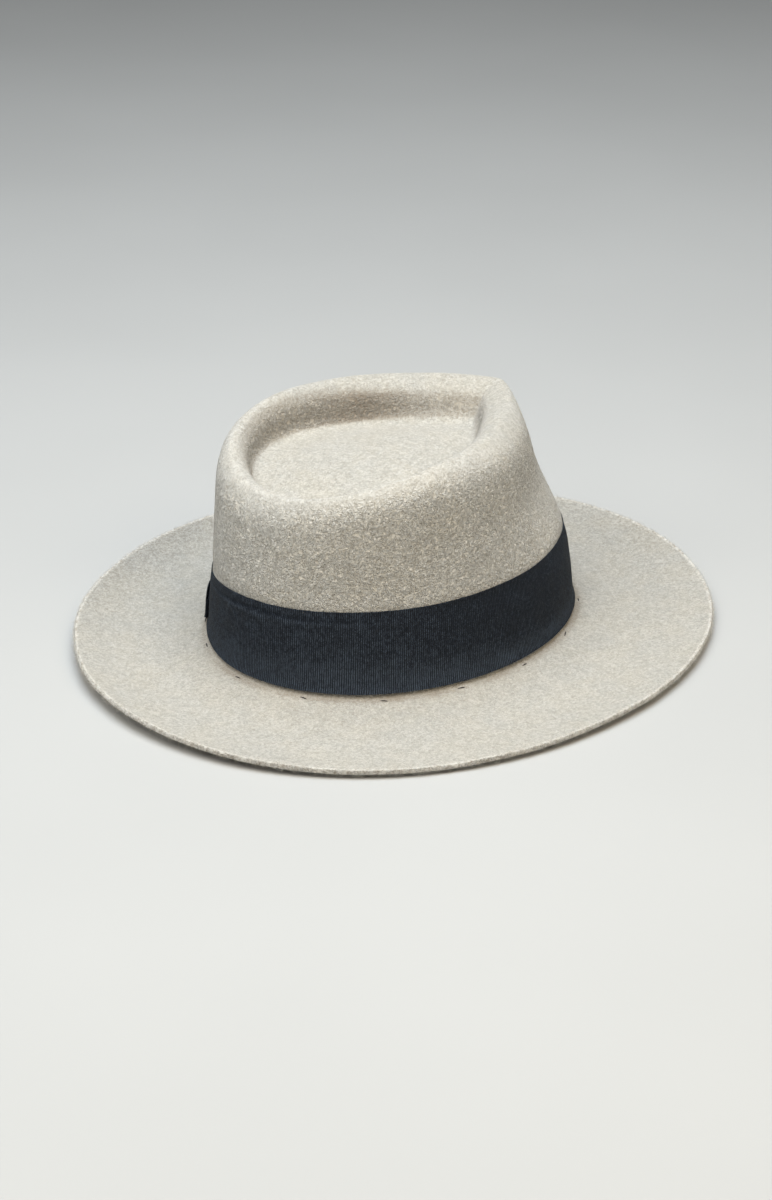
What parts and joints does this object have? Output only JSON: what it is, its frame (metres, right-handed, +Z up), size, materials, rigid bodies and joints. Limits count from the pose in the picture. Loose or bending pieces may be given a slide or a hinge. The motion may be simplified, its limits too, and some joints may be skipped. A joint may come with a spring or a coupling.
{
  "type": "fedora hat",
  "caption": "Wool felt fedora with a teardrop crown, rolled crown ridge, wide lightly turned brim, grosgrain ribbon and a flat side bow, resting on its brim.",
  "frame": {"origin": "middle of the hat's box, on the surface that the brim rests on", "axes": "+Z up out of the crown, -Y towards the pointed front of the crown, +X towards the bow on the wearer's left"},
  "size_m": [0.3107, 0.3448, 0.1172],
  "materials": {
    "wool_felt": "matt light taupe wool felt with short mixed fibres",
    "grosgrain": "dark navy-black ribbed ribbon with a faint sheen"
  },
  "bodies": {
    "root": {"felt_body": "wool_felt", "ribbon_band": "grosgrain", "bow_tail": "grosgrain", "bow_loops": "grosgrain", "bow_knot": "grosgrain"}
  },
  "joints": []
}
